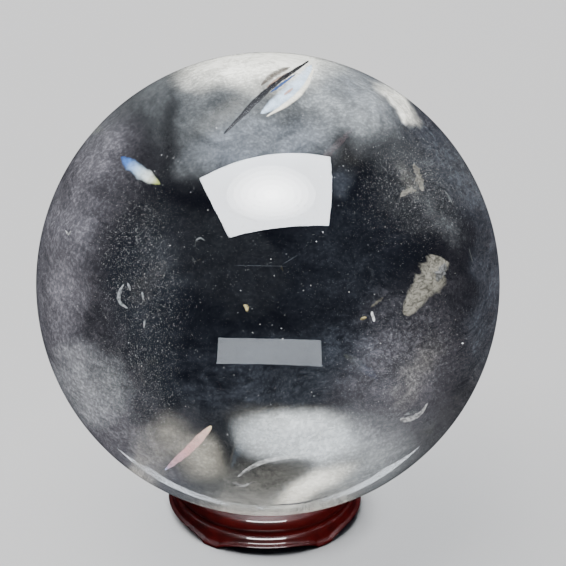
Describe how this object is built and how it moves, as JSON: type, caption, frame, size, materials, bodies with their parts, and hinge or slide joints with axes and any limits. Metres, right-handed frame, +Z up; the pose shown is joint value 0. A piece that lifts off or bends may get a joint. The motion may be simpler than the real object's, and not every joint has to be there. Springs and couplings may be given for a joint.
{
  "type": "crystal ball",
  "caption": "Polished rock-crystal ball that lifts off a small turned and lacquered wooden stand with a dished seat.",
  "frame": {"origin": "on the surface that the stand rests on, under the centre of the ball", "axes": "+Z up through the stand and the ball; the arch between two feet faces -Y; +X to the right seen from the front"},
  "size_m": [0.08, 0.08, 0.085],
  "materials": {
    "rock_crystal": "polished, clear with milky veils",
    "lacquered_wood": "glossy red-brown lacquer"
  },
  "bodies": {
    "stand": {"seat_ring": "lacquered_wood", "foot_ring": "lacquered_wood"},
    "ball": {"crystal_ball": "rock_crystal"}
  },
  "joints": [
    {"name": "ball_lift", "type": "slide", "parent": "stand", "child": "ball", "axis": [0, 0, 1], "range_m": [0, 0.03]}
  ]
}
